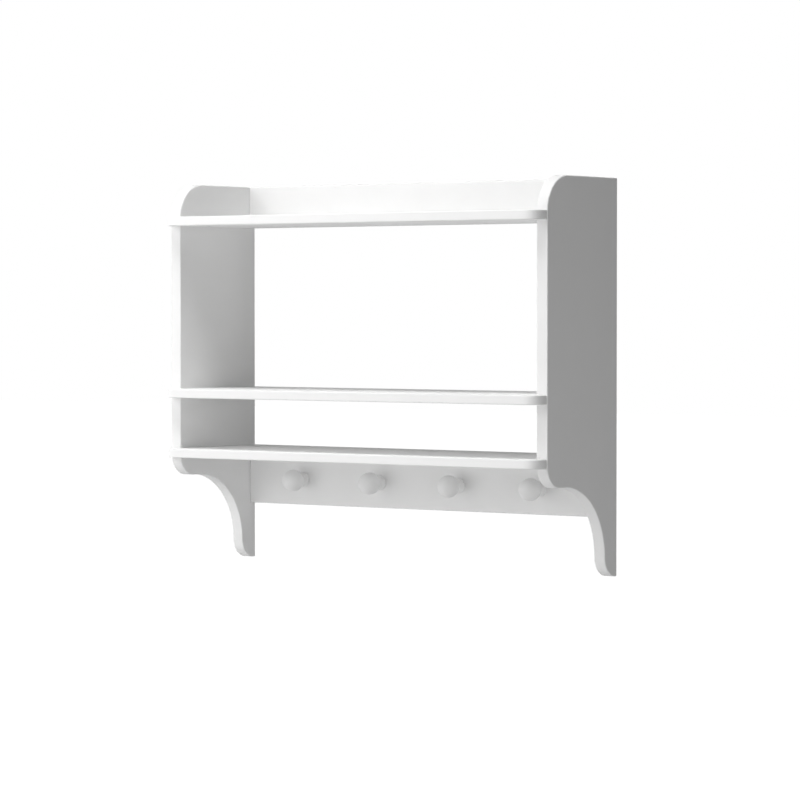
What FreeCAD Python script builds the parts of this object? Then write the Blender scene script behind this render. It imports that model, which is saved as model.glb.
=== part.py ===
import FreeCAD
import Part
import Sketcher
import math
import os
from types import SimpleNamespace

# A white wall shelf: two shaped side panels carry three boards, a top rail and a rail with four pegs.
# X runs to the right, the wall is the plane Y = 0, the front looks along -Y and Z points up.
# The origin lies on the wall, midway between the keyhole hangers, at the height of their entry holes.

SIZES = {
    # Side panels
    "overall_width": 800.0,
    "panel_depth": 210.0,
    "panel_thick": 22.0,
    "panel_ease": 2.0,
    "top_corner_radius": 60.0,
    "front_corner_radius": 37.0,
    "bracket_step": 32.5,
    "bracket_flat": 14.5,
    "toe_radius": 34.5,
    "toe_flat": 3.0,
    # Boards and the gaps between them
    "board_thick": 16.0,
    "board_ease": 2.0,
    "lip_overhang": 27.0,
    "ear_inset": 1.5,
    "top_rail_height": 58.0,
    "upper_gap": 286.0,
    "lower_gap": 89.0,
    "peg_rail_height": 89.0,
    # Pegs
    "peg_end_margin": 123.0,
    "peg_length": 49.5,
    "peg_base_radius": 13.5,
    "peg_base_thick": 2.5,
    "peg_neck_radius": 8.0,
    "peg_neck_at": 12.4,
    "peg_ease": 1.2,
    "peg_bore_spare": 2.0,
    # Peg screws
    "peg_screw_radius": 2.0,
    "peg_screw_head_radius": 4.0,
    "peg_screw_bite": 22.0,
    "peg_screw_sink": 0.5,
    "peg_screw_clearance": 0.25,
    "pilot_clearance": 0.05,
    "screw_tip": 3.0,
    "screw_cross_width": 1.0,
    "screw_cross_depth": 1.2,
    # Cam bolts and cam locks
    "cam_setback": 34.0,
    "cam_radius": 7.4,
    "cam_height": 12.0,
    "cam_clearance": 0.1,
    "cam_floor_gap": 0.5,
    "cam_slot_play": 0.3,
    "cam_cross_width": 2.0,
    "cam_cross_depth": 2.5,
    "bolt_screw_radius": 3.0,
    "bolt_screw_length": 11.0,
    "bolt_tip": 1.5,
    "bolt_collar_radius": 3.7,
    "bolt_collar_length": 2.0,
    "bolt_shank_radius": 2.5,
    "bolt_neck_radius": 2.0,
    "bolt_neck_length": 7.0,
    "bolt_head_radius": 3.4,
    "bolt_head_length": 2.6,
    "bolt_head_bevel": 0.6,
    "bolt_bore_clearance": 0.3,
    "thread_clearance": 0.05,
    # Dowels
    "dowel_radius": 4.0,
    "dowel_in_panel": 11.0,
    "dowel_in_board": 19.0,
    "dowel_bevel": 1.0,
    "dowel_clearance": 0.05,
    "dowel_end_gap": 0.5,
    # Places of the fasteners
    "shelf_bolt_margin": 40.0,
    "fastener_pitch": 32.0,
    # Keyhole hangers
    "hanger_drop": 110.0,
    "hanger_width": 16.0,
    "hanger_below": 20.0,
    "hanger_above": 26.0,
    "hanger_thick": 2.0,
    "hanger_clearance": 0.15,
    "keyhole_radius": 4.5,
    "keyslot_radius": 2.4,
    "keyslot_rise": 10.0,
    "head_pocket_radius": 6.0,
    "head_pocket_depth": 8.0,
    "hanger_screw_radius": 1.6,
    "hanger_screw_head_radius": 3.2,
    "hanger_screw_length": 18.0,
    "hanger_screw_margin": 6.0,
    "hanger_screw_sink": 0.2,
    "hanger_screw_clearance": 0.15,
    "cut_overrun": 1.0,
}

# Places of the pegs along their rail, as shares of the way from its middle to an end peg
PEG_PLACE_SHARES = (-1, -1 / 3, 1 / 3, 1)

SAME_PLACE = 1e-6
FULL_TURN = 360
LEFT = -1
RIGHT = 1
SIDES = {"left": LEFT, "right": RIGHT}
UP = FreeCAD.Vector(0, 0, 1)
FORWARD = FreeCAD.Vector(0, -1, 0)


class Size:
    """A length together with the sheet expression that gives it."""

    def __init__(self, number, text):
        self.number = number
        self.text = text

    def __add__(self, other):
        return Size(self.number + number_of(other), f"({self.text} + {text_of(other)})")

    def __sub__(self, other):
        return Size(self.number - number_of(other), f"({self.text} - {text_of(other)})")

    def __mul__(self, other):
        return Size(self.number * number_of(other), f"({self.text} * {text_of(other)})")

    def __truediv__(self, other):
        return Size(self.number / number_of(other), f"({self.text} / {text_of(other)})")

    def __neg__(self):
        return Size(-self.number, f"(0 - {self.text})")


def number_of(value):
    return value.number if isinstance(value, Size) else value


def text_of(value):
    return value.text if isinstance(value, Size) else f"({value})"


def write_sheet(doc):
    """Keeps the driving dimensions in a spreadsheet, one named cell each."""
    sheet = doc.addObject("Spreadsheet::Sheet", "Sizes")
    for row, (name, value) in enumerate(SIZES.items(), start=1):
        sheet.set(f"A{row}", name)
        sheet.set(f"B{row}", str(value))
        sheet.setAlias(f"B{row}", name)
    doc.recompute()


DOC = FreeCAD.newDocument("WallShelf")
write_sheet(DOC)
S = SimpleNamespace(**{name: Size(value, f"Sizes.{name}") for name, value in SIZES.items()})
ZERO = Size(0, "0")

# Derived places, all measured from the origin
HALF_WIDTH = S.overall_width / 2
HALF_INSIDE = HALF_WIDTH - S.panel_thick
HALF_EARS = HALF_WIDTH - S.ear_inset
SHELF_FRONT = S.panel_depth + S.lip_overhang
MID_BOARD = S.board_thick / 2
PANEL_TOP = S.hanger_drop
SHELF_TOP_BASE = PANEL_TOP - S.top_rail_height - S.board_thick
SHELF_MIDDLE_BASE = SHELF_TOP_BASE - S.upper_gap - S.board_thick
SHELF_BOTTOM_BASE = SHELF_MIDDLE_BASE - S.lower_gap - S.board_thick
TOP_RAIL_BASE = PANEL_TOP - S.top_rail_height
PEG_RAIL_BASE = SHELF_BOTTOM_BASE - S.peg_rail_height
BRACKET_BASE = SHELF_BOTTOM_BASE - S.bracket_step
TOE_FRONT = S.toe_flat + S.toe_radius
SCOOP_RADIUS = S.panel_depth - S.front_corner_radius - S.bracket_flat - TOE_FRONT
SCOOP_END = BRACKET_BASE - SCOOP_RADIUS
PANEL_FOOT = SCOOP_END - S.toe_radius
PEG_LINE = PEG_RAIL_BASE + S.peg_rail_height / 2
PEG_REACH = HALF_INSIDE - S.peg_end_margin

CAM_BORE_RADIUS = S.cam_radius + S.cam_clearance
CAM_BORE_DEPTH = S.cam_height + S.cam_floor_gap
BOLT_BORE_RADIUS = S.bolt_collar_radius + S.bolt_bore_clearance
BOLT_THREAD_RADIUS = S.bolt_screw_radius + S.thread_clearance
BOLT_THREAD_DEPTH = S.bolt_screw_length + S.dowel_end_gap
DOWEL_BORE_RADIUS = S.dowel_radius + S.dowel_clearance
DOWEL_PANEL_DEPTH = S.dowel_in_panel + S.dowel_end_gap
DOWEL_BOARD_DEPTH = S.dowel_in_board + S.dowel_end_gap
PEG_HOLE_RADIUS = S.peg_screw_radius + S.peg_screw_clearance
PEG_SINK = S.peg_screw_head_radius - S.peg_screw_radius + S.peg_screw_sink
HANGER_HOLE_RADIUS = S.hanger_screw_radius + S.hanger_screw_clearance
HANGER_SINK = S.hanger_screw_head_radius - S.hanger_screw_radius + S.hanger_screw_sink
HANGER_SCREW_LOW = S.hanger_screw_margin - S.hanger_below
HANGER_SCREW_HIGH = S.hanger_above - S.hanger_screw_margin

# Where each board's fasteners sit: depth from the wall for shelves, height on the board for rails
SHELF_BOLTS = (S.shelf_bolt_margin, S.panel_depth - S.shelf_bolt_margin)
SHELF_DOWELS = (
    S.shelf_bolt_margin + S.fastener_pitch,
    S.panel_depth - S.shelf_bolt_margin - S.fastener_pitch,
)

SHELVES = {
    "shelf_top": SHELF_TOP_BASE,
    "shelf_middle": SHELF_MIDDLE_BASE,
    "shelf_bottom": SHELF_BOTTOM_BASE,
}
RAILS = {
    "top_rail": SimpleNamespace(
        base=TOP_RAIL_BASE,
        height=S.top_rail_height,
        eased_level=S.top_rail_height,
        bolts=[S.top_rail_height / 2 + S.fastener_pitch / 2],
        dowels=[S.top_rail_height / 2 - S.fastener_pitch / 2],
    ),
    "peg_rail": SimpleNamespace(
        base=PEG_RAIL_BASE,
        height=S.peg_rail_height,
        eased_level=ZERO,
        bolts=[S.peg_rail_height / 2],
        dowels=[
            S.peg_rail_height / 2 - S.fastener_pitch,
            S.peg_rail_height / 2 + S.fastener_pitch,
        ],
    ),
}


# Sketching and feature helpers


def new_body(label):
    body = DOC.addObject("PartDesign::Body", label)
    body.Label = label
    return body


def new_sketch(body, role, lift=ZERO):
    """Starts a sketch on one of the body's own origin planes, lifted along the plane's normal."""
    plane = next(p for p in body.Origin.OriginFeatures if p.Role == role)
    sketch = body.newObject("Sketcher::SketchObject", "Sketch")
    sketch.AttachmentSupport = [(plane, "")]
    sketch.MapMode = "FlatFace"
    sketch.AttachmentOffset = FreeCAD.Placement(FreeCAD.Vector(0, 0, lift.number), FreeCAD.Rotation())
    sketch.setExpression("AttachmentOffset.Base.z", lift.text)
    return sketch


def hold(sketch, kind, part, point, size):
    """Dimensions one point, or one radius, with a sheet expression."""
    if kind == "Radius":
        index = sketch.addConstraint(Sketcher.Constraint(kind, part, size.number))
    else:
        index = sketch.addConstraint(Sketcher.Constraint(kind, -1, 1, part, point, size.number))
    sketch.setExpression(f"Constraints[{index}]", size.text)


def arc_between(start, end, radius, hollow):
    """The short arc from start to end; a hollow one bends into the outline."""
    middle = (start + end) / 2
    chord = end - start
    rise = math.sqrt(max(radius * radius - chord.Length * chord.Length / 4, 0))
    across = FreeCAD.Vector(-chord.y, chord.x, 0).normalize() * rise
    centre = middle - across if hollow else middle + across
    if hollow:
        start, end = end, start
    first = math.atan2(start.y - centre.y, start.x - centre.x)
    last = math.atan2(end.y - centre.y, end.x - centre.x)
    circle = Part.Circle(centre, UP, radius)
    return Part.ArcOfCircle(circle, first, last)


def draw_outline(sketch, corners, arcs=None):
    """Draws a closed outline through the corners, counter-clockwise where it has arcs.

    arcs gives a side's number a pair: its radius, and round, hollow or half for a half circle.
    """
    arcs = arcs or {}
    points = [FreeCAD.Vector(x.number, y.number, 0) for x, y in corners]
    count = len(corners)
    first = sketch.GeometryCount
    for side, start in enumerate(points):
        end = points[(side + 1) % count]
        if side in arcs:
            radius, form = arcs[side]
            sketch.addGeometry(arc_between(start, end, radius.number, form == "hollow"))
        else:
            sketch.addGeometry(Part.LineSegment(start, end))
    hollow = {side for side, (radius, form) in arcs.items() if form == "hollow"}
    for side, (x, y) in enumerate(corners):
        before = (side - 1) % count
        tip = 1 if before in hollow else 2
        tail = 2 if side in hollow else 1
        half = side in arcs and arcs[side][1] == "half"
        joint = "Tangent" if half else "Coincident"
        sketch.addConstraint(Sketcher.Constraint(joint, first + before, tip, first + side, tail))
        hold(sketch, "DistanceX", first + side, tail, x)
        hold(sketch, "DistanceY", first + side, tail, y)
        if side in arcs and not half:
            hold(sketch, "Radius", first + side, 0, arcs[side][0])


def draw_circles(sketch, centres, radius):
    for x, y in centres:
        centre = FreeCAD.Vector(x.number, y.number, 0)
        index = sketch.addGeometry(Part.Circle(centre, UP, radius.number))
        hold(sketch, "DistanceX", index, 3, x)
        hold(sketch, "DistanceY", index, 3, y)
        hold(sketch, "Radius", index, 0, radius)


def draw_cross(sketch, reach, width, middle=ZERO):
    """A plus shape, as in the drive of a screw."""
    half = width / 2
    arm = [(half, half), (half, reach), (-half, reach), (-half, half), (-reach, half), (-reach, -half)]
    corners = arm + [(-x, -y) for x, y in arm]
    draw_outline(sketch, [(middle + x, y) for x, y in corners])


def draw_round_slot(sketch, x, low, high, radius):
    """A slot that stands upright, with round ends centred at low and high."""
    corners = [(x + radius, low), (x + radius, high), (x - radius, high), (x - radius, low)]
    draw_outline(sketch, corners, {1: (radius, "half"), 3: (radius, "half")})


def pad(body, sketch, length, reverse=False):
    feature = body.newObject("PartDesign::Pad", "Pad")
    feature.Profile = sketch
    feature.setExpression("Length", length.text)
    feature.Reversed = reverse
    DOC.recompute()
    return feature


def pocket(body, sketch, depth, reverse=False):
    """Cuts against the sketch's normal, or along it when reversed, and makes sure that it cut."""
    before = body.Shape.Volume
    feature = body.newObject("PartDesign::Pocket", "Pocket")
    feature.Profile = sketch
    feature.setExpression("Length", depth.text)
    feature.Reversed = reverse
    DOC.recompute()
    if not body.Shape.Volume < before:
        raise ValueError(f"{body.Label}: a pocket cut nothing")
    return feature


def turn(body, sketch, axis):
    """Turns a half profile all the way round one of its sketch's axes."""
    feature = body.newObject("PartDesign::Revolution", "Turned")
    feature.Profile = sketch
    feature.ReferenceAxis = (sketch, [axis])
    feature.Angle = FULL_TURN
    DOC.recompute()
    return feature


def dress_edges(body, kind, name, size, wanted):
    """Rounds or bevels the edges that wanted picks by their points."""
    base = body.Tip
    names = [f"Edge{n}" for n, edge in enumerate(base.Shape.Edges, start=1) if wanted(edge)]
    if not names:
        raise ValueError(f"{body.Label}: no edge to dress")
    feature = body.newObject(kind, name)
    feature.Base = (base, names)
    feature.setExpression("Radius" if kind.endswith("Fillet") else "Size", size.text)
    DOC.recompute()
    return feature


def all_at(edge, axis, place):
    """Whether an edge lies in the plane where one coordinate has the given value."""
    return all(math.isclose(getattr(v.Point, axis), place, abs_tol=SAME_PLACE) for v in edge.Vertexes)


def is_ring(edge, radius):
    """Whether an edge is a circle of the given radius."""
    if edge.Degenerated or not isinstance(edge.Curve, Part.Circle):
        return False
    return math.isclose(edge.Curve.Radius, radius, abs_tol=SAME_PLACE)


def put(thing, x=ZERO, y=ZERO, z=ZERO, rotation=None):
    """Places an object, each coordinate bound to its expression."""
    base = FreeCAD.Vector(x.number, y.number, z.number)
    thing.Placement = FreeCAD.Placement(base, rotation or FreeCAD.Rotation())
    for axis, size in (("x", x), ("y", y), ("z", z)):
        thing.setExpression(f"Placement.Base.{axis}", size.text)


# Side panels


def panel_outline():
    """The panel seen from the right: round top corner, stepped bracket, hollow scoop and toe."""
    depth = S.panel_depth
    corners = [
        (ZERO, PANEL_FOOT),
        (ZERO, PANEL_TOP),
        (S.top_corner_radius - depth, PANEL_TOP),
        (-depth, PANEL_TOP - S.top_corner_radius),
        (-depth, BRACKET_BASE + S.front_corner_radius),
        (S.front_corner_radius - depth, BRACKET_BASE),
        (-(TOE_FRONT + SCOOP_RADIUS), BRACKET_BASE),
        (-TOE_FRONT, SCOOP_END),
        (-S.toe_flat, PANEL_FOOT),
    ]
    arcs = {
        2: (S.top_corner_radius, "round"),
        4: (S.front_corner_radius, "round"),
        6: (SCOOP_RADIUS, "hollow"),
        7: (S.toe_radius, "round"),
    }
    return corners, arcs


def panel_bores():
    """Centres of the cam bolt bores and the dowel bores on a panel's inner face."""
    bolts = []
    dowels = []
    for base in SHELVES.values():
        bolts += [(-depth, base + MID_BOARD) for depth in SHELF_BOLTS]
        dowels += [(-depth, base + MID_BOARD) for depth in SHELF_DOWELS]
    for rail in RAILS.values():
        bolts += [(-MID_BOARD, rail.base + height) for height in rail.bolts]
        dowels += [(-MID_BOARD, rail.base + height) for height in rail.dowels]
    return bolts, dowels


def make_panel(name, side):
    """One side panel, its inner face at local X = 0 and its thickness outwards."""
    body = new_body(name)
    sketch = new_sketch(body, "YZ_Plane")
    draw_outline(sketch, *panel_outline())
    pad(body, sketch, S.panel_thick, reverse=side == LEFT)
    outer = side * S.panel_thick.number
    top, foot = PANEL_TOP.number, PANEL_FOOT.number

    def is_arris(edge):
        across = all_at(edge, "y", 0) and (all_at(edge, "z", top) or all_at(edge, "z", foot))
        return all_at(edge, "x", 0) or all_at(edge, "x", outer) or across

    dress_edges(body, "PartDesign::Fillet", "Eased", S.panel_ease, is_arris)

    bolts, dowels = panel_bores()
    for centres, radius, depth in (
        (bolts, BOLT_THREAD_RADIUS, BOLT_THREAD_DEPTH),
        (dowels, DOWEL_BORE_RADIUS, DOWEL_PANEL_DEPTH),
    ):
        sketch = new_sketch(body, "YZ_Plane")
        draw_circles(sketch, centres, radius)
        pocket(body, sketch, depth, reverse=side == RIGHT)

    middle = S.panel_thick / 2 if side == RIGHT else -S.panel_thick / 2
    end_radius = S.hanger_width / 2
    recess = new_sketch(body, "XZ_Plane")
    draw_round_slot(
        recess,
        middle,
        end_radius - S.hanger_below,
        S.hanger_above - end_radius,
        end_radius + S.hanger_clearance,
    )
    pocket(body, recess, S.hanger_thick, reverse=True)
    clearing = new_sketch(body, "XZ_Plane")
    draw_round_slot(clearing, middle, ZERO, S.keyslot_rise, S.head_pocket_radius)
    pocket(body, clearing, S.hanger_thick + S.head_pocket_depth, reverse=True)
    pilots = new_sketch(body, "XZ_Plane")
    draw_circles(
        pilots,
        [(middle, HANGER_SCREW_LOW), (middle, HANGER_SCREW_HIGH)],
        S.hanger_screw_radius + S.pilot_clearance,
    )
    pocket(body, pilots, S.hanger_screw_length + S.hanger_screw_sink, reverse=True)
    put(body, x=HALF_INSIDE if side == RIGHT else -HALF_INSIDE)
    return body


# Shelves and rails


def bore_ends(body, bolts, dowels):
    """Bores both ends of a board for its cam bolts and dowels."""
    for side in SIDES.values():
        end = HALF_INSIDE if side == RIGHT else -HALF_INSIDE
        for centres, radius, depth in (
            (bolts, BOLT_BORE_RADIUS, S.cam_setback),
            (dowels, DOWEL_BORE_RADIUS, DOWEL_BOARD_DEPTH),
        ):
            sketch = new_sketch(body, "YZ_Plane", end)
            draw_circles(sketch, centres, radius)
            pocket(body, sketch, depth, reverse=side == LEFT)


def make_shelf(name, base):
    """A shelf with a front lip, whose quarter-round ears lap over the front edges of the side panels."""
    body = new_body(name)
    sketch = new_sketch(body, "XY_Plane")
    corners = [
        (S.lip_overhang - HALF_EARS, -SHELF_FRONT),
        (HALF_EARS - S.lip_overhang, -SHELF_FRONT),
        (HALF_EARS, -S.panel_depth),
        (HALF_INSIDE, -S.panel_depth),
        (HALF_INSIDE, ZERO),
        (-HALF_INSIDE, ZERO),
        (-HALF_INSIDE, -S.panel_depth),
        (-HALF_EARS, -S.panel_depth),
    ]
    draw_outline(sketch, corners, {1: (S.lip_overhang, "round"), 7: (S.lip_overhang, "round")})
    pad(body, sketch, S.board_thick)
    thick, lip = S.board_thick.number, -S.panel_depth.number

    def is_eased_edge(edge):
        level = all_at(edge, "z", 0) or all_at(edge, "z", thick)
        on_lip = all(v.Point.y <= lip for v in edge.Vertexes) and not all_at(edge, "y", lip)
        return level and (on_lip or all_at(edge, "y", 0))

    dress_edges(body, "PartDesign::Fillet", "Eased", S.board_ease, is_eased_edge)

    cams = new_sketch(body, "XY_Plane")
    reach = HALF_INSIDE - S.cam_setback
    draw_circles(cams, [(x, -depth) for x in (-reach, reach) for depth in SHELF_BOLTS], CAM_BORE_RADIUS)
    pocket(body, cams, CAM_BORE_DEPTH, reverse=True)
    bolts = [(-depth, MID_BOARD) for depth in SHELF_BOLTS]
    dowels = [(-depth, MID_BOARD) for depth in SHELF_DOWELS]
    bore_ends(body, bolts, dowels)
    put(body, z=base)
    return body


def make_rail(name, rail):
    """A rail between the panels, its back on the wall plane and its cam bores in the back."""
    body = new_body(name)
    sketch = new_sketch(body, "XZ_Plane")
    top = rail.height
    draw_outline(sketch, [(-HALF_INSIDE, ZERO), (HALF_INSIDE, ZERO), (HALF_INSIDE, top), (-HALF_INSIDE, top)])
    pad(body, sketch, S.board_thick)

    half, front = HALF_INSIDE.number, -S.board_thick.number

    def is_eased_edge(edge):
        is_long = all_at(edge, "z", rail.eased_level.number) and edge.Length > S.board_thick.number
        at_end = all_at(edge, "x", -half) or all_at(edge, "x", half)
        return is_long or (at_end and all_at(edge, "y", front))

    dress_edges(body, "PartDesign::Fillet", "Eased", S.board_ease, is_eased_edge)

    cams = new_sketch(body, "XZ_Plane")
    reach = HALF_INSIDE - S.cam_setback
    draw_circles(cams, [(x, z) for x in (-reach, reach) for z in rail.bolts], CAM_BORE_RADIUS)
    pocket(body, cams, CAM_BORE_DEPTH, reverse=True)
    bore_ends(body, [(-MID_BOARD, z) for z in rail.bolts], [(-MID_BOARD, z) for z in rail.dowels])
    put(body, z=rail.base)
    return body


def bore_peg_holes(body):
    """Screw holes for the pegs, countersunk from the back of the peg rail."""
    sketch = new_sketch(body, "XZ_Plane")
    middle = S.peg_rail_height / 2
    places = [PEG_REACH * share for share in PEG_PLACE_SHARES]
    draw_circles(sketch, [(x, middle) for x in places], PEG_HOLE_RADIUS)
    pocket(body, sketch, S.board_thick + S.cut_overrun, reverse=True)
    hole = PEG_HOLE_RADIUS.number

    def is_back_rim(edge):
        return is_ring(edge, hole) and all_at(edge, "y", 0)

    dress_edges(body, "PartDesign::Chamfer", "Countersunk", PEG_SINK, is_back_rim)


# Pegs


def make_peg(name, place):
    """A turned peg: foot, hollow neck and ball, with a screw bore in its foot."""
    body = new_body(name)
    sketch = new_sketch(body, "YZ_Plane")
    bore = S.peg_screw_radius + S.pilot_clearance
    bore_depth = S.peg_screw_bite + S.peg_bore_spare
    foot_run = S.peg_neck_at - S.peg_base_thick
    foot_rise = S.peg_base_radius - S.peg_neck_radius
    ball_run = S.peg_length - S.peg_neck_at
    corners = [
        (ZERO, bore),
        (ZERO, S.peg_base_radius),
        (-S.peg_base_thick, S.peg_base_radius),
        (-S.peg_neck_at, S.peg_neck_radius),
        (-S.peg_length, ZERO),
        (-bore_depth, ZERO),
        (-bore_depth, bore),
    ]
    arcs = {
        2: (bend_radius(foot_run, foot_rise), "hollow"),
        3: (bend_radius(S.peg_neck_radius, ball_run), "round"),
    }
    draw_outline(sketch, corners, arcs)
    turn(body, sketch, "H_Axis")

    def is_rim(edge):
        return is_ring(edge, S.peg_base_radius.number) and not all_at(edge, "y", 0)

    dress_edges(body, "PartDesign::Fillet", "Eased", S.peg_ease, is_rim)
    put(body, x=place, y=-S.board_thick, z=PEG_LINE)
    return body


def bend_radius(run, rise):
    """Radius of an arc that starts level and rises by rise over a distance of run."""
    return (run * run + rise * rise) / (rise * 2)


# Fasteners, each drawn once along local X and then set in its places


def make_screw(name, radius, head_radius, length):
    """A countersunk screw with a cross drive, its head's face at X = 0."""
    body = new_body(name)
    sketch = new_sketch(body, "XZ_Plane")
    head = head_radius - radius
    corners = [
        (ZERO, ZERO),
        (ZERO, head_radius),
        (head, radius),
        (length - S.screw_tip, radius),
        (length, ZERO),
    ]
    draw_outline(sketch, corners)
    turn(body, sketch, "H_Axis")
    cross = new_sketch(body, "YZ_Plane")
    draw_cross(cross, radius, S.screw_cross_width)
    pocket(body, cross, S.screw_cross_depth, reverse=True)
    return body


def make_bolt():
    """A cam bolt: screw end in the panel at X < 0, collar on its face, and a necked head."""
    body = new_body("cam_bolt")
    sketch = new_sketch(body, "XZ_Plane")
    head_start = S.cam_setback - S.bolt_head_length / 2
    head_end = S.cam_setback + S.bolt_head_length / 2
    neck_start = head_start - S.bolt_neck_length
    corners = [
        (-S.bolt_screw_length, ZERO),
        (-S.bolt_screw_length, S.bolt_screw_radius - S.bolt_tip),
        (S.bolt_tip - S.bolt_screw_length, S.bolt_screw_radius),
        (ZERO, S.bolt_screw_radius),
        (ZERO, S.bolt_collar_radius),
        (S.bolt_collar_length, S.bolt_collar_radius),
        (S.bolt_collar_length, S.bolt_shank_radius),
        (neck_start, S.bolt_shank_radius),
        (neck_start, S.bolt_neck_radius),
        (head_start, S.bolt_neck_radius),
        (head_start, S.bolt_head_radius),
        (head_end - S.bolt_head_bevel, S.bolt_head_radius),
        (head_end, S.bolt_head_radius - S.bolt_head_bevel),
        (head_end, ZERO),
    ]
    draw_outline(sketch, corners)
    turn(body, sketch, "H_Axis")
    return body


def make_cam():
    """A cam lock at the bolt's head: a drum with a slot for the neck and a chamber for the head."""
    body = new_body("cam_lock")
    face = -MID_BOARD
    drum = new_sketch(body, "XY_Plane", face)
    draw_circles(drum, [(S.cam_setback, ZERO)], S.cam_radius)
    pad(body, drum, S.cam_height)
    open_top = S.cam_height - MID_BOARD + S.cut_overrun
    half_chamber = S.bolt_head_length / 2 + S.cam_slot_play
    chamber_end = S.cam_setback + half_chamber
    chamber_start = S.cam_setback - half_chamber
    for radius, end, length in (
        (S.bolt_head_radius + S.cam_slot_play, chamber_end, half_chamber * 2),
        (S.bolt_neck_radius + S.cam_slot_play, chamber_start, S.cam_radius),
    ):
        sketch = new_sketch(body, "YZ_Plane", end)
        corners = [(radius, ZERO), (radius, open_top), (-radius, open_top), (-radius, ZERO)]
        draw_outline(sketch, corners, {3: (radius, "half")})
        pocket(body, sketch, length)
    cross = new_sketch(body, "XY_Plane", face)
    draw_cross(cross, S.cam_radius / 2, S.cam_cross_width, S.cam_setback)
    pocket(body, cross, S.cam_cross_depth, reverse=True)
    return body


def make_dowel():
    """A beech dowel with bevelled ends, its panel end at X < 0."""
    body = new_body("dowel")
    sketch = new_sketch(body, "XZ_Plane")
    slim = S.dowel_radius - S.dowel_bevel
    corners = [
        (-S.dowel_in_panel, ZERO),
        (-S.dowel_in_panel, slim),
        (S.dowel_bevel - S.dowel_in_panel, S.dowel_radius),
        (S.dowel_in_board - S.dowel_bevel, S.dowel_radius),
        (S.dowel_in_board, slim),
        (S.dowel_in_board, ZERO),
    ]
    draw_outline(sketch, corners)
    turn(body, sketch, "H_Axis")
    return body


def make_hanger(name, side):
    """A keyhole plate let into the back edge of a side panel, its back face on the wall plane."""
    body = new_body(name)
    end_radius = S.hanger_width / 2
    sketch = new_sketch(body, "XZ_Plane")
    draw_round_slot(sketch, ZERO, end_radius - S.hanger_below, S.hanger_above - end_radius, end_radius)
    pad(body, sketch, S.hanger_thick)
    through = S.hanger_thick + S.cut_overrun
    entry = new_sketch(body, "XZ_Plane")
    draw_circles(entry, [(ZERO, ZERO)], S.keyhole_radius)
    pocket(body, entry, through, reverse=True)
    slot = new_sketch(body, "XZ_Plane")
    draw_round_slot(slot, ZERO, ZERO, S.keyslot_rise, S.keyslot_radius)
    pocket(body, slot, through, reverse=True)
    holes = new_sketch(body, "XZ_Plane")
    draw_circles(holes, [(ZERO, HANGER_SCREW_LOW), (ZERO, HANGER_SCREW_HIGH)], HANGER_HOLE_RADIUS)
    pocket(body, holes, through, reverse=True)
    hole = HANGER_HOLE_RADIUS.number

    def is_back_rim(edge):
        return is_ring(edge, hole) and all_at(edge, "y", 0)

    dress_edges(body, "PartDesign::Chamfer", "Countersunk", HANGER_SINK, is_back_rim)
    middle = HALF_WIDTH - S.panel_thick / 2
    put(body, x=middle if side == RIGHT else -middle)
    return body


def group(name, master, places):
    """A node of equal pieces: one link to the master for each place, joined in a compound."""
    links = []
    for number, (x, y, z, rotation) in enumerate(places, start=1):
        link = DOC.addObject("App::Link", f"{name}_{number}")
        link.LinkedObject = master
        put(link, x, y, z, rotation)
        links.append(link)
    node = DOC.addObject("Part::Compound", name)
    node.Label = name
    node.Links = links
    return node


def axes(along, up):
    """The rotation that turns local X and Z to the given directions."""
    return FreeCAD.Rotation(along, up.cross(along), up, "ZXY")


def end_places(board_places, up):
    """Both ends of a board: the panel's face at each place, local X pointing into the board."""
    places = []
    for side in SIDES.values():
        end = HALF_INSIDE if side == RIGHT else -HALF_INSIDE
        rotation = axes(FreeCAD.Vector(-side, 0, 0), up)
        places += [(end, y, z, rotation) for y, z in board_places]
    return places


def make_board_fasteners(name, bolts, dowels, cam_up, masters):
    bolt_places = end_places(bolts, cam_up)
    return [
        group(f"{name}_cam_bolts", masters.bolt, bolt_places),
        group(f"{name}_cam_locks", masters.cam, bolt_places),
        group(f"{name}_dowels", masters.dowel, end_places(dowels, cam_up)),
    ]


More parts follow.
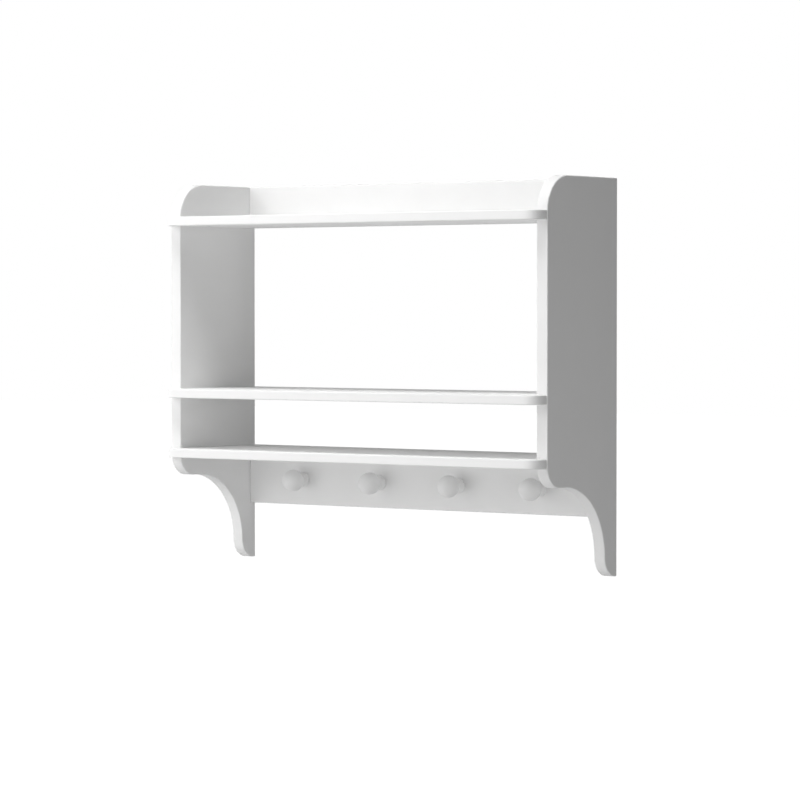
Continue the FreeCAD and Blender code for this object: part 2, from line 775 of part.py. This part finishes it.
def build():
    nodes = [make_panel(f"side_panel_{word}", side) for word, side in SIDES.items()]
    masters = SimpleNamespace(bolt=make_bolt(), cam=make_cam(), dowel=make_dowel())

    for name, base in SHELVES.items():
        nodes.append(make_shelf(name, base))
        bolts = [(-depth, base + MID_BOARD) for depth in SHELF_BOLTS]
        dowels = [(-depth, base + MID_BOARD) for depth in SHELF_DOWELS]
        nodes += make_board_fasteners(name, bolts, dowels, UP, masters)

    for name, rail in RAILS.items():
        body = make_rail(name, rail)
        if name == "peg_rail":
            bore_peg_holes(body)
        nodes.append(body)
        bolts = [(-MID_BOARD, rail.base + height) for height in rail.bolts]
        dowels = [(-MID_BOARD, rail.base + height) for height in rail.dowels]
        nodes += make_board_fasteners(name, bolts, dowels, FORWARD, masters)

    into_front = axes(FORWARD, UP)
    screw_length = S.board_thick + S.peg_screw_bite - S.peg_screw_sink
    for number, share in enumerate(PEG_PLACE_SHARES, start=1):
        place = PEG_REACH * share
        nodes.append(make_peg(f"peg_{number}", place))
        screw = make_screw(
            f"peg_screw_{number}", S.peg_screw_radius, S.peg_screw_head_radius, screw_length
        )
        put(screw, place, -S.peg_screw_sink, PEG_LINE, into_front)
        nodes.append(screw)

    hanger_screw = make_screw(
        "small_screw", S.hanger_screw_radius, S.hanger_screw_head_radius, S.hanger_screw_length
    )
    for word, side in SIDES.items():
        nodes.append(make_hanger(f"keyhole_hanger_{word}", side))
        middle = HALF_WIDTH - S.panel_thick / 2
        x = middle if side == RIGHT else -middle
        heights = (HANGER_SCREW_LOW, HANGER_SCREW_HIGH)
        places = [(x, -S.hanger_screw_sink, z, into_front) for z in heights]
        nodes.append(group(f"hanger_screws_{word}", hanger_screw, places))
    return nodes


def check_and_write(nodes):
    """Stops on any failed object or bad shape, then writes one STEP file for each node."""
    DOC.recompute()
    for thing in DOC.Objects:
        if "Invalid" in thing.State or "Error" in thing.State:
            raise ValueError(f"{thing.Label} failed: {thing.State}")
    for node in nodes:
        if node.Shape.isNull() or not node.Shape.isValid():
            raise ValueError(f"{node.Label} has a bad shape")
    os.makedirs("parts", exist_ok=True)
    for node in nodes:
        node.Shape.exportStep(os.path.join("parts", f"{node.Label}.step"))
        print(f"{node.Label}: {len(node.Shape.Solids)} solids, {node.Shape.Volume:.1f} mm3")


check_and_write(build())
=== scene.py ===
import math

import bpy
from mathutils import Matrix, Vector


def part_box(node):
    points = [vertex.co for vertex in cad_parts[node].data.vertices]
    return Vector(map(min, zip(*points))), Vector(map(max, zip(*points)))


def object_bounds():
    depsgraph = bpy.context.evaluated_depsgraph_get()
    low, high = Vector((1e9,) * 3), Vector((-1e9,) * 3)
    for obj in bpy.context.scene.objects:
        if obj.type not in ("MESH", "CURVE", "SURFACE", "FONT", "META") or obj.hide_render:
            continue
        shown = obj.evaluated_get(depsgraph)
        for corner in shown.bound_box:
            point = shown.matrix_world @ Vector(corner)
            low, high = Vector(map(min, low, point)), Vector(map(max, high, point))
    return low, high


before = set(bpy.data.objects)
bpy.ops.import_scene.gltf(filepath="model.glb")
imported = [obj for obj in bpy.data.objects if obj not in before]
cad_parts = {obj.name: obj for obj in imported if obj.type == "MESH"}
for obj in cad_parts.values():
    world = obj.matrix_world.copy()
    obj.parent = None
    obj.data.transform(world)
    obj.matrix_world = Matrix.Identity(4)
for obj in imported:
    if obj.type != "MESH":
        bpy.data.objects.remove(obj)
cad_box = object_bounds()

MM = 0.001
WHITE = (1.0, 1.0, 1.0)

panel_low, panel_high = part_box("side_panel_left")
shelf_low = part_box("shelf_bottom")[0]


# Node helpers


def fill(tree, made, inputs):
    """Gives a node's inputs their values: another node's output, a number, or a colour."""
    for label, value in inputs.items():
        socket = made.inputs[label]
        if isinstance(value, bpy.types.NodeSocket):
            tree.links.new(value, socket)
        elif isinstance(value, tuple):
            socket.default_value = (*value, 1.0)
        else:
            socket.default_value = value


def node(tree, kind, inputs=None, **settings):
    """Adds a shader node; settings are its properties, and inputs its sockets by name or number."""
    made = tree.nodes.new(kind)
    for name, value in settings.items():
        setattr(made, name, value)
    fill(tree, made, inputs or {})
    return made


def maths(tree, operation, *values):
    """The result of a Math node on values that are each a socket or a number."""
    return node(tree, "ShaderNodeMath", dict(enumerate(values)), operation=operation).outputs[0]


def vector_maths(tree, operation, *vectors):
    """The outputs of a Vector Math node on sockets that hold vectors."""
    return node(tree, "ShaderNodeVectorMath", dict(enumerate(vectors)), operation=operation).outputs


def blended(tree, share, first, second):
    """Mixes two colours, of which each may be a socket, by a share from 0 to 1."""
    mix = node(tree, "ShaderNodeMix", {"Factor": share, "A": first, "B": second}, data_type="RGBA")
    return mix.outputs["Result"]


def mapped(tree, value, low, high, start=0.0, end=1.0):
    """Spreads a value that runs from start to end over the range from low to high."""
    ranges = {"From Min": start, "From Max": end, "To Min": low, "To Max": high}
    return node(tree, "ShaderNodeMapRange", {"Value": value, **ranges}).outputs["Result"]


def place_on_piece(tree):
    """Each point's place on its piece, in metres."""
    return node(tree, "ShaderNodeTexCoord").outputs["Object"]


def clouds(tree, place, **looks):
    """A noise pattern between 0 and 1; looks are its Scale, Detail and other inputs."""
    return node(tree, "ShaderNodeTexNoise", {"Vector": place, **looks}).outputs["Fac"]


def bumped(tree, height, depth):
    """The normal of a surface raised by height, a value between 0 and 1, times depth in metres."""
    bump = node(tree, "ShaderNodeBump", {"Height": height, "Distance": depth, "Strength": 1.0})
    return bump.outputs["Normal"]


def new_group(name, inputs, outputs):
    """A shader node group with float inputs, given with their defaults, and float outputs."""
    tree = bpy.data.node_groups.new(name, "ShaderNodeTree")
    for label, value in inputs.items():
        socket = tree.interface.new_socket(label, in_out="INPUT", socket_type="NodeSocketFloat")
        socket.default_value = value
    for label in outputs:
        tree.interface.new_socket(label, in_out="OUTPUT", socket_type="NodeSocketFloat")
    return tree, node(tree, "NodeGroupInput").outputs, node(tree, "NodeGroupOutput")


def placed(tree, group, inputs=None):
    """The outputs of a node group that is placed in a material with its own values."""
    return node(tree, "ShaderNodeGroup", inputs, node_tree=group).outputs


def new_material(name):
    """A material with a bare Principled shader, its node tree, and that shader."""
    made = bpy.data.materials.new(name)
    made.use_nodes = True
    tree = made.node_tree
    tree.nodes.clear()
    shader = node(tree, "ShaderNodeBsdfPrincipled")
    node(tree, "ShaderNodeOutputMaterial", {"Surface": shader.outputs["BSDF"]})
    return made, tree, shader


# Surface effects that several finishes share

PEEL_SIZE = 1.4 * MM
PEEL_DETAIL = 2.0
CLOUD_SIZE = 60.0 * MM
CLOUD_DETAIL = 3.0

ARRIS_WIDTH = 1.5 * MM
ARRIS_SAMPLES = 6
ARRIS_SHARPNESS = 6.0
RUB_PATCHINESS = 0.5
RUB_PATCHES_PER_METRE = 70.0

PORES_PER_METRE = 260.0
GRAIN_DETAIL = 6.0
GRAIN_ROUGHNESS = 0.6
GRAIN_WAVER = 0.3
# How much a metre along the grain counts beside a metre across it
ALONG_THE_GRAIN = 0.02


def sprayed_film_group():
    """The fine orange peel of a sprayed film, and its slow changes in thickness."""
    sizes = {"Peel Size": PEEL_SIZE, "Cloud Size": CLOUD_SIZE}
    tree, given, result = new_group("Sprayed film", sizes, ["Height", "Cloud"])
    patterns = {"Height": ("Peel Size", PEEL_DETAIL), "Cloud": ("Cloud Size", CLOUD_DETAIL)}
    for label, (size, detail) in patterns.items():
        per_metre = maths(tree, "DIVIDE", 1.0, given[size])
        pattern = clouds(tree, place_on_piece(tree), Scale=per_metre, Detail=detail)
        fill(tree, result, {label: pattern})
    return tree


def arris_group():
    """Finds the arrises: up to 1 on an edge, patchy along it, and 0 on the flats."""
    defaults = {"Width": ARRIS_WIDTH, "Patchiness": RUB_PATCHINESS}
    tree, given, result = new_group("Arris", defaults, ["Mask"])
    soft = node(tree, "ShaderNodeBevel", {"Radius": given["Width"]}, samples=ARRIS_SAMPLES)
    true = node(tree, "ShaderNodeNewGeometry")
    flatness = vector_maths(tree, "DOT_PRODUCT", soft.outputs["Normal"], true.outputs["Normal"])
    bend = maths(tree, "SUBTRACT", 1.0, flatness["Value"])
    sharp = maths(tree, "MULTIPLY", bend, ARRIS_SHARPNESS)
    patches = clouds(tree, place_on_piece(tree), Scale=RUB_PATCHES_PER_METRE)
    kept = maths(tree, "SUBTRACT", 1.0, maths(tree, "MULTIPLY", patches, given["Patchiness"]))
    mask = maths(tree, "MULTIPLY", sharp, kept)
    fill(tree, result, {"Mask": maths(tree, "MINIMUM", mask, 1.0)})
    return tree


def long_grain_group():
    """Wood grain, as it shows faintly through paint or plainly on bare wood."""
    shares = {f"Across {axis}": 1.0 for axis in "XYZ"}
    tree, given, result = new_group("Long grain", {**shares, "Pores": PORES_PER_METRE}, ["Grain"])
    squeeze = node(tree, "ShaderNodeCombineXYZ", {axis: given[f"Across {axis}"] for axis in "XYZ"})
    squeezed = vector_maths(tree, "MULTIPLY", place_on_piece(tree), squeeze.outputs["Vector"])
    grain = clouds(
        tree,
        squeezed["Vector"],
        Scale=given["Pores"],
        Detail=GRAIN_DETAIL,
        Roughness=GRAIN_ROUGHNESS,
        Distortion=GRAIN_WAVER,
    )
    fill(tree, result, {"Grain": grain})
    return tree


FILM = sprayed_film_group()
ARRIS = arris_group()
GRAIN = long_grain_group()


# White lacquer

LACQUER_THIN = (0.86, 0.86, 0.857)
LACQUER_THICK = (0.885, 0.885, 0.883)
LACQUER_ROUGHNESS = (0.62, 0.74)
LACQUER_SPECULAR = 0.3
RUBBED_WHITE = (0.85, 0.848, 0.84)
RUBBED_SHARE = 0.6
RUBBED_POLISH = 0.1
PEEL_DEPTH = 0.01 * MM
# The depth of the grain under the lacquer, as shares of the orange peel's
BOARD_GRAIN_SHARE = 0.8
PEG_GRAIN_SHARE = 0.5


def white_lacquer(name, grain_axis, grain_share):
    """Matt white lacquer over wood: orange peel, faint grain below, and slightly rubbed arrises."""
    made, tree, shader = new_material(name)
    film = placed(tree, FILM)
    arris = placed(tree, ARRIS)["Mask"]
    grain = placed(tree, GRAIN, {f"Across {grain_axis}": ALONG_THE_GRAIN})["Grain"]
    coat = blended(tree, film["Cloud"], LACQUER_THIN, LACQUER_THICK)
    rubbed = blended(tree, maths(tree, "MULTIPLY", arris, RUBBED_SHARE), coat, RUBBED_WHITE)
    matt = mapped(tree, film["Cloud"], *LACQUER_ROUGHNESS)
    polish = maths(tree, "MULTIPLY", arris, RUBBED_POLISH)
    relief = maths(tree, "ADD", film["Height"], maths(tree, "MULTIPLY", grain, grain_share))
    surface = {
        "Base Color": rubbed,
        "Roughness": maths(tree, "SUBTRACT", matt, polish),
        "Specular IOR Level": LACQUER_SPECULAR,
        "Normal": bumped(tree, relief, PEEL_DEPTH),
    }
    fill(tree, shader, surface)
    return made


# Bare beech of the dowels

BEECH_DARK = (0.45, 0.29, 0.15)
BEECH_LIGHT = (0.72, 0.53, 0.33)
BEECH_ROUGHNESS = (0.75, 0.6)
BEECH_PORES_PER_METRE = 900.0
BEECH_GRAIN_DEPTH = 0.06 * MM


def bare_beech():
    """Turned beech with its grain along the dowel."""
    made, tree, shader = new_material("beech")
    looks = {"Across X": ALONG_THE_GRAIN, "Pores": BEECH_PORES_PER_METRE}
    grain = placed(tree, GRAIN, looks)["Grain"]
    surface = {
        "Base Color": blended(tree, grain, BEECH_DARK, BEECH_LIGHT),
        "Roughness": mapped(tree, grain, *BEECH_ROUGHNESS),
        "Normal": bumped(tree, grain, BEECH_GRAIN_DEPTH),
    }
    fill(tree, shader, surface)
    return made


# Metal of the hidden fittings

METAL_CLOUD_SIZE = 4.0 * MM
METAL_ARRIS_WIDTH = 0.4 * MM
METAL_BRIGHT_EDGE = (0.78, 0.79, 0.8)

# Dark and light tone, lowest and highest roughness, size and depth of the surface's grain
CAST_ZINC = ((0.4, 0.41, 0.43), (0.52, 0.53, 0.55), 0.42, 0.6, 0.5 * MM, 0.04 * MM)
ZINC_PLATED_STEEL = ((0.55, 0.57, 0.6), (0.66, 0.68, 0.7), 0.25, 0.4, 0.3 * MM, 0.01 * MM)


def metal(name, dark, light, smooth, rough, grain_size, grain_depth):
    """A plated or cast metal: a mottled tone, uneven shine and rubbed bright edges."""
    made, tree, shader = new_material(name)
    film = placed(tree, FILM, {"Peel Size": grain_size, "Cloud Size": METAL_CLOUD_SIZE})
    arris = placed(tree, ARRIS, {"Width": METAL_ARRIS_WIDTH})["Mask"]
    mottled = blended(tree, film["Cloud"], dark, light)
    surface = {
        "Base Color": blended(tree, arris, mottled, METAL_BRIGHT_EDGE),
        "Metallic": 1.0,
        "Roughness": mapped(tree, film["Cloud"], smooth, rough),
        "Normal": bumped(tree, film["Height"], grain_depth),
    }
    fill(tree, shader, surface)
    return made


# Finishes of the nodes

FINISHES = {
    "panel_lacquer": white_lacquer("white_lacquer_upright", "Z", BOARD_GRAIN_SHARE),
    "board_lacquer": white_lacquer("white_lacquer_board", "X", BOARD_GRAIN_SHARE),
    "peg_lacquer": white_lacquer("white_lacquer_peg", "Y", PEG_GRAIN_SHARE),
    "beech": bare_beech(),
    "cast_zinc": metal("cast_zinc", *CAST_ZINC),
    "zinc_plated_steel": metal("zinc_plated_steel", *ZINC_PLATED_STEEL),
}


def finish_of(name):
    """The finish of a CAD node, from its name."""
    if name.startswith("side_panel"):
        return "panel_lacquer"
    if name.endswith("dowels"):
        return "beech"
    if name.endswith("cam_locks"):
        return "cast_zinc"
    if name.endswith("cam_bolts") or "screw" in name or "hanger" in name:
        return "zinc_plated_steel"
    if name.startswith("peg_") and name != "peg_rail":
        return "peg_lacquer"
    return "board_lacquer"


for name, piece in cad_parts.items():
    piece.data.materials.clear()
    piece.data.materials.append(FINISHES[finish_of(name)])


# Camera

# The photograph's camera, found from the shelf's own edges
FRAME_PIXELS = 800
SENSOR_MM = 36.0
CAMERA_AZIMUTH = 36.274
CAMERA_ELEVATION = 1.545
CAMERA_FOCAL_PIXELS = 3406.03
CAMERA_DISTANCE = 5855.81 * MM

# The point that it looks at lies half way between the front and back of the panels
AIM_RIGHT = 24.81 * MM
AIM_ABOVE_BOTTOM_SHELF = 104.9 * MM


def add_facing(name, data, target, azimuth, elevation, distance):
    """Adds a camera or lamp, turned to target; azimuth 0 is in front of the shelf, 90 to its right."""
    around = math.radians(azimuth)
    above = math.radians(elevation)
    back = Vector(
        (math.sin(around) * math.cos(above), -math.cos(around) * math.cos(above), math.sin(above))
    )
    right = Vector((0, 0, 1)).cross(back).normalized()
    turn = Matrix((right, back.cross(right), back)).transposed().to_4x4()
    made = bpy.data.objects.new(name, data)
    bpy.context.collection.objects.link(made)
    made.matrix_world = Matrix.Translation(target + back * distance) @ turn
    return made


def add_camera():
    """The photograph's camera, on the right of the shelf and a little above it."""
    data = bpy.data.cameras.new("camera")
    data.sensor_width = SENSOR_MM
    data.lens = CAMERA_FOCAL_PIXELS / FRAME_PIXELS * SENSOR_MM
    middle_depth = (panel_low.y + panel_high.y) / 2
    aim = Vector((AIM_RIGHT, middle_depth, shelf_low.z + AIM_ABOVE_BOTTOM_SHELF))
    place = (CAMERA_AZIMUTH, CAMERA_ELEVATION, CAMERA_DISTANCE)
    bpy.context.scene.camera = add_facing("camera", data, aim, *place)


# Studio

# The floor lies well below the hung shelf, and glows up to plain white far away
FLOOR_DROP = 1.2
FLOOR_SIZE = 80.0
FLOOR_GREY = (0.55, 0.55, 0.55)
FLOOR_ROUGHNESS = 0.9
FLOOR_GLOW_NEAR = 0.6
FLOOR_GLOW_FAR = 1.0
FLOOR_GLOW_REACH = 6.0

AMBIENT_IN_FRONT = 0.0
AMBIENT_BEHIND = 0.17

# Azimuth and elevation in degrees, size in metres, power in watts
SOFTBOX_DISTANCE = 3.0
SOFTBOXES = {
    "key": (-30, 25, 1.4, 32.5),
    "overhead": (0, 70, 1.0, 57.0),
    "left_wall": (-85, -7, 2.2, 24.0),
    "front_wall": (-35, -7, 2.2, 24.0),
    "right_wall": (60, -7, 2.2, 18.4),
    "low_front": (0, -15, 1.0, 8.9),
    "back_fill": (180, 0, 1.0, 37.4),
}


def seen_directly(tree):
    """1 for a ray from the camera, from a gloss or through glass, and else 0."""
    path = node(tree, "ShaderNodeLightPath").outputs
    mirrored = maths(tree, "MAXIMUM", path["Is Glossy Ray"], path["Is Transmission Ray"])
    return maths(tree, "MAXIMUM", path["Is Camera Ray"], mirrored)


def add_world():
    """Soft light that grows from the front to behind the shelf, and shows as plain white."""
    world = bpy.data.worlds.new("studio")
    bpy.context.scene.world = world
    world.use_nodes = True
    tree = world.node_tree
    tree.nodes.clear()
    way = node(tree, "ShaderNodeTexCoord").outputs["Generated"]
    backwards = node(tree, "ShaderNodeSeparateXYZ", {"Vector": way}).outputs["Y"]
    strength = mapped(tree, backwards, AMBIENT_IN_FRONT, AMBIENT_BEHIND, start=-1.0)
    lit = node(tree, "ShaderNodeBackground", {"Color": WHITE, "Strength": strength}).outputs[0]
    shown = node(tree, "ShaderNodeBackground", {"Color": WHITE, "Strength": 1.0}).outputs[0]
    either = node(tree, "ShaderNodeMixShader", {0: seen_directly(tree), 1: lit, 2: shown})
    node(tree, "ShaderNodeOutputWorld", {"Surface": either.outputs[0]})


def add_floor():
    """A pale floor; its glow, which lights nothing, brings it up to white where no shadow lies."""
    half = FLOOR_SIZE / 2
    level = panel_low.z - FLOOR_DROP
    corners = [(-half, -half, level), (half, -half, level), (half, half, level), (-half, half, level)]
    mesh = bpy.data.meshes.new("floor")
    mesh.from_pydata(corners, [], [(0, 1, 2, 3)])
    floor = bpy.data.objects.new("floor", mesh)
    bpy.context.collection.objects.link(floor)
    made, tree, shader = new_material("pale_floor")
    away = vector_maths(tree, "LENGTH", place_on_piece(tree))["Value"]
    glow = mapped(tree, away, FLOOR_GLOW_NEAR, FLOOR_GLOW_FAR, end=FLOOR_GLOW_REACH)
    surface = {
        "Base Color": FLOOR_GREY,
        "Roughness": FLOOR_ROUGHNESS,
        "Specular IOR Level": 0.0,
        "Emission Color": WHITE,
        "Emission Strength": maths(tree, "MULTIPLY", seen_directly(tree), glow),
    }
    fill(tree, shader, surface)
    mesh.materials.append(made)


def add_softbox(name, azimuth, elevation, size, power):
    """A square soft light, turned to the middle of the shelf, that itself stays out of sight."""
    data = bpy.data.lights.new(name, "AREA")
    data.shape = "SQUARE"
    data.size = size
    data.energy = power
    middle = (cad_box[0] + cad_box[1]) / 2
    lamp = add_facing(name, data, middle, azimuth, elevation, SOFTBOX_DISTANCE)
    lamp.visible_camera = False
    lamp.visible_glossy = False


add_camera()
add_world()
add_floor()
for label, settings in SOFTBOXES.items():
    add_softbox(label, *settings)
bpy.context.scene.view_settings.view_transform = "Standard"
